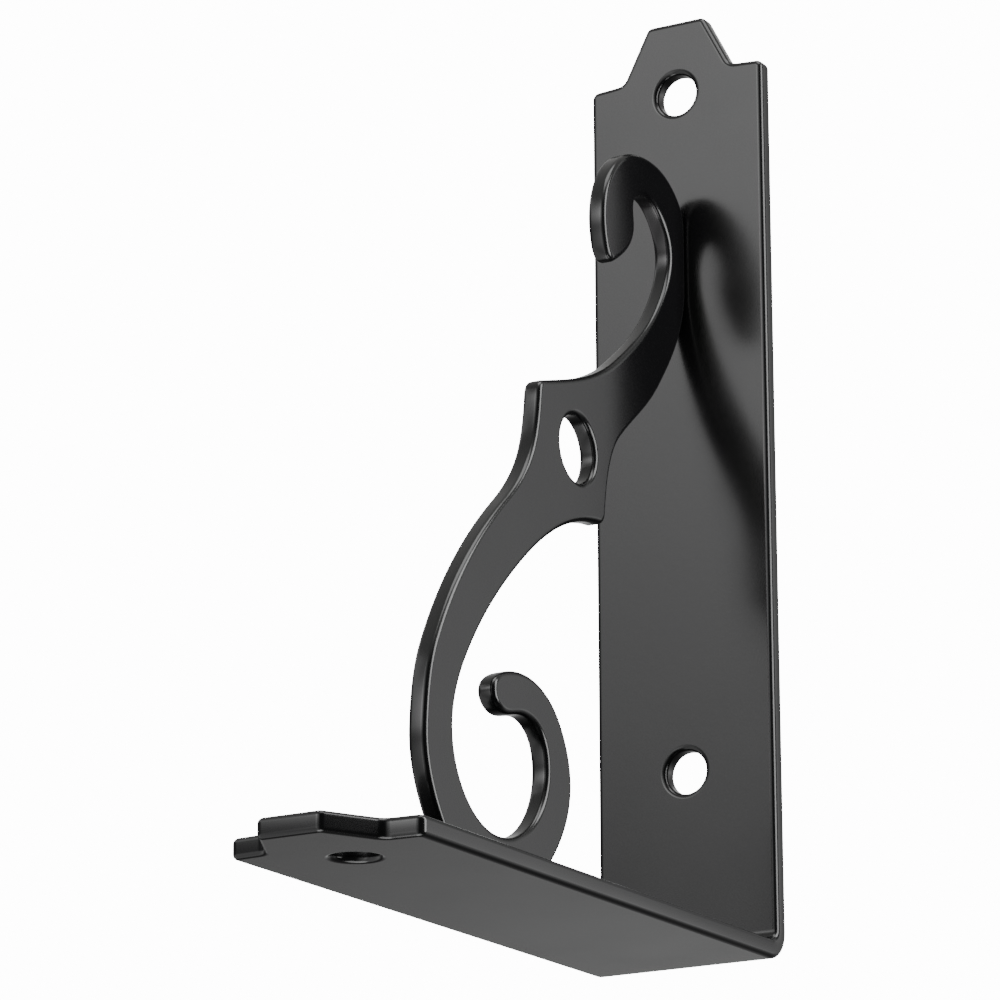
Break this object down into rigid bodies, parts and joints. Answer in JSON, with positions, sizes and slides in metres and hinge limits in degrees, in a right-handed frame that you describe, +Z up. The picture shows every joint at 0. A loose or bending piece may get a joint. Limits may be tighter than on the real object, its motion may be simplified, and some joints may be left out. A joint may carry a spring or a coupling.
{
  "type": "scrolled shelf bracket",
  "caption": "L-shaped shelf bracket bent from flat steel bar, with clipped and drilled ends, braced by a scroll-cut web that has a hook, an eyed ear and a curl.",
  "frame": {"origin": "on the wall leg's back face, midway between its two screw holes and in the middle of its width", "axes": "+Y into the wall, +Z up to the shelf, +X across the bracket; the shelf leg runs out along -Y"},
  "size_m": [0.04, 0.15, 0.2],
  "materials": {
    "black_powder_coat_bar": "gloss",
    "black_powder_coat_web": "gloss"
  },
  "bodies": {
    "root": {"angle_strip": "black_powder_coat_bar", "scroll_web": "black_powder_coat_web"}
  },
  "joints": []
}
